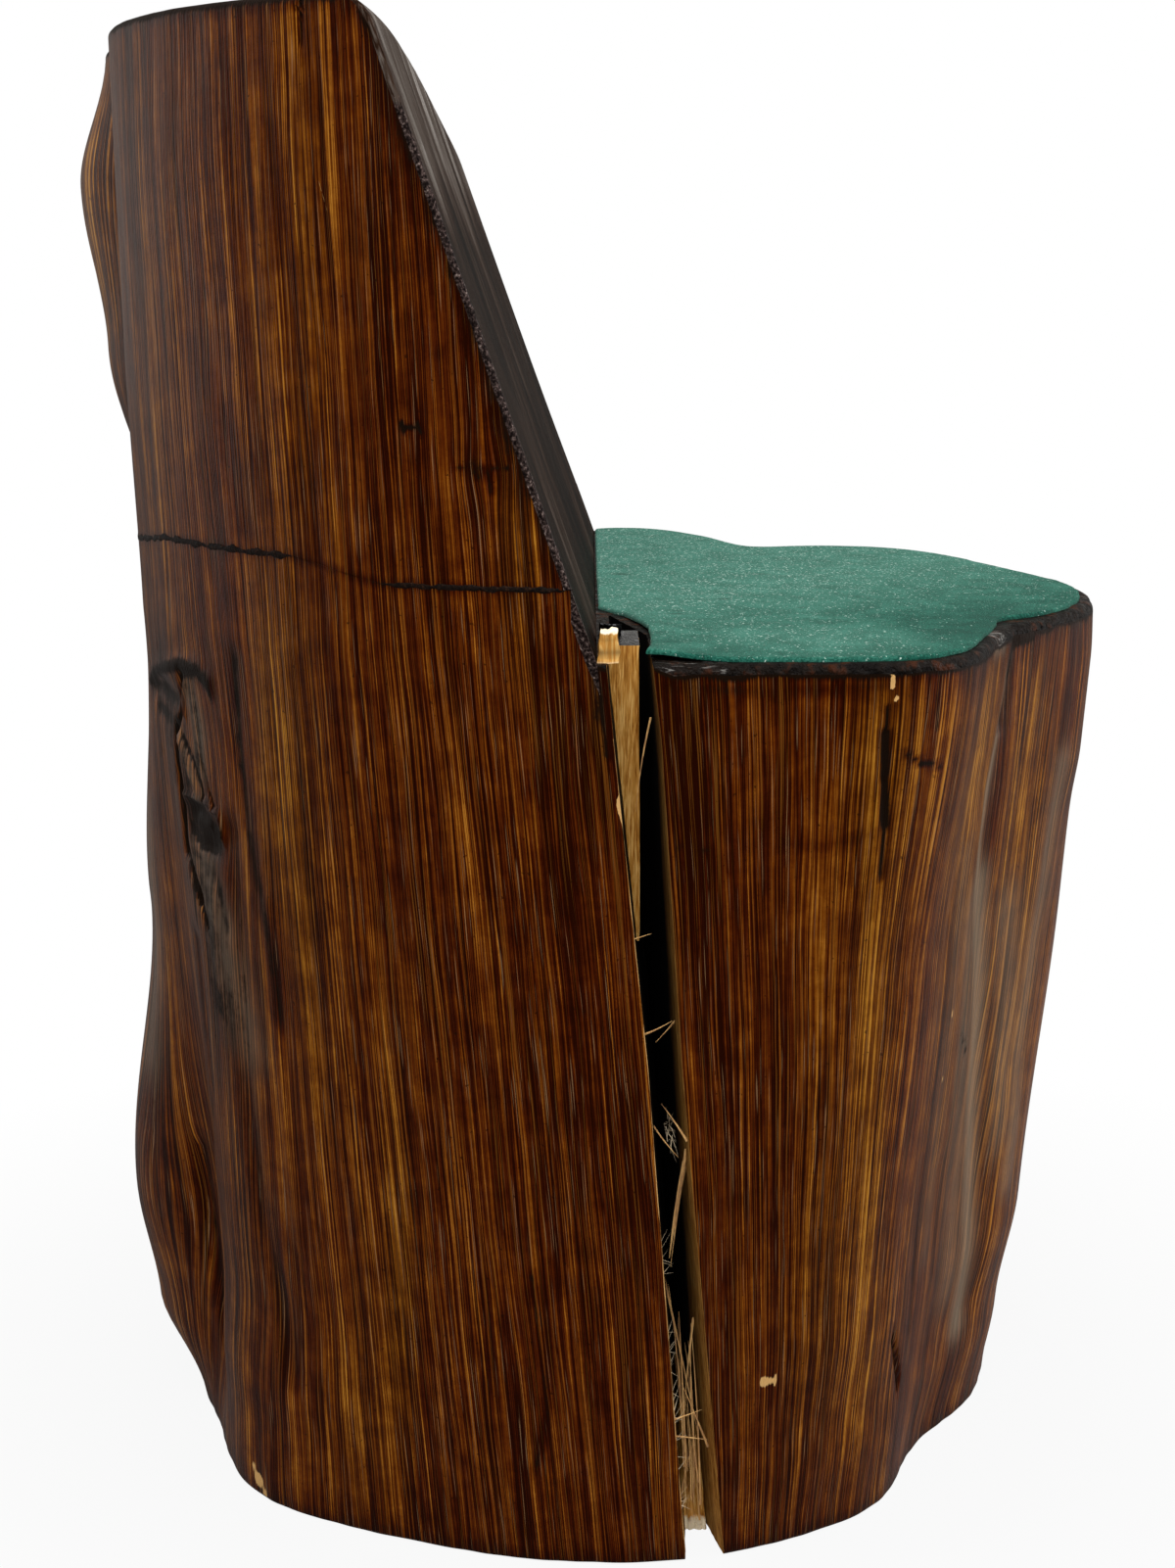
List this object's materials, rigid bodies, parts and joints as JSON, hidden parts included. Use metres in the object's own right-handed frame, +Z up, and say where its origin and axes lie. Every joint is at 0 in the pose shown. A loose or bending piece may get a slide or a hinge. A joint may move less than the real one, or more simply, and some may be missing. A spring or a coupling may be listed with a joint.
{
  "type": "log chair",
  "caption": "Rustic chair cut from one lobed tree trunk: a stump seat under a felt cover, a sawn leaning back jointed on above it, and a deep drying crack down one side.",
  "frame": {"origin": "on the floor, at the pith of the log, in the middle of its sawn underside", "axes": "+Z up; the sitter faces -Y and the back stands towards +Y; the sitter's right, with the drying crack, is -X"},
  "size_m": [0.5378, 0.5171, 0.689],
  "materials": {
    "lacquered_log": "stained and brushed with clear gloss varnish over bare sapwood",
    "dowel_wood": "turned, bare",
    "joint_filler": "dark wood filler pressed into the saw cut",
    "seat_felt": "pressed wool felt, cut and glued",
    "raw_wood": "torn bare softwood",
    "black_lacquer": "brittle black lacquer film"
  },
  "bodies": {
    "root": {"stump": "lacquered_log", "back_block": "lacquered_log", "back_dowel_1": "dowel_wood", "back_dowel_2": "dowel_wood", "back_dowel_3": "dowel_wood", "seam_filler_side": "joint_filler", "seam_filler_rear": "joint_filler", "seat_cover": "seat_felt", "crack_sliver": "raw_wood", "lip_chunk": "raw_wood", "lacquer_flake": "black_lacquer", "crack_splinters": "raw_wood"}
  },
  "joints": []
}
